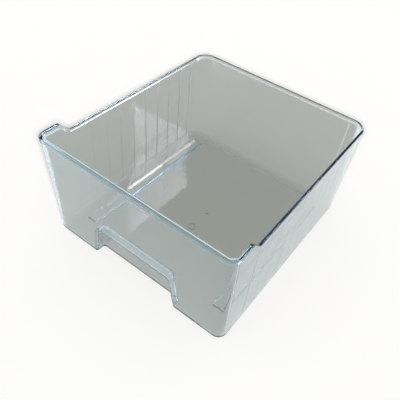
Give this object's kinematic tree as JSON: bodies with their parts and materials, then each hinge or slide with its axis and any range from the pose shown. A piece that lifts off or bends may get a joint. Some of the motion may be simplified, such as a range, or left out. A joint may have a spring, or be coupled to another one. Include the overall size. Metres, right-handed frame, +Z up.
{
  "type": "fridge drawer",
  "caption": "Clear moulded fridge drawer with a raised front, a finger grip in its foot, fine ribbed walls and runners under the floor.",
  "frame": {"origin": "centre of the footprint, on the shelf that the drawer stands on", "axes": "+Z up, -Y towards the front with the finger grip, +X to the right seen from the front"},
  "size_m": [0.2634, 0.306, 0.151],
  "materials": {
    "clear_plastic": "clear polished polystyrene"
  },
  "bodies": {
    "root": {"floor": "clear_plastic", "finger_grip": "clear_plastic", "front_wall": "clear_plastic", "back_wall": "clear_plastic", "side_wall_left": "clear_plastic", "side_wall_right": "clear_plastic"}
  },
  "joints": []
}
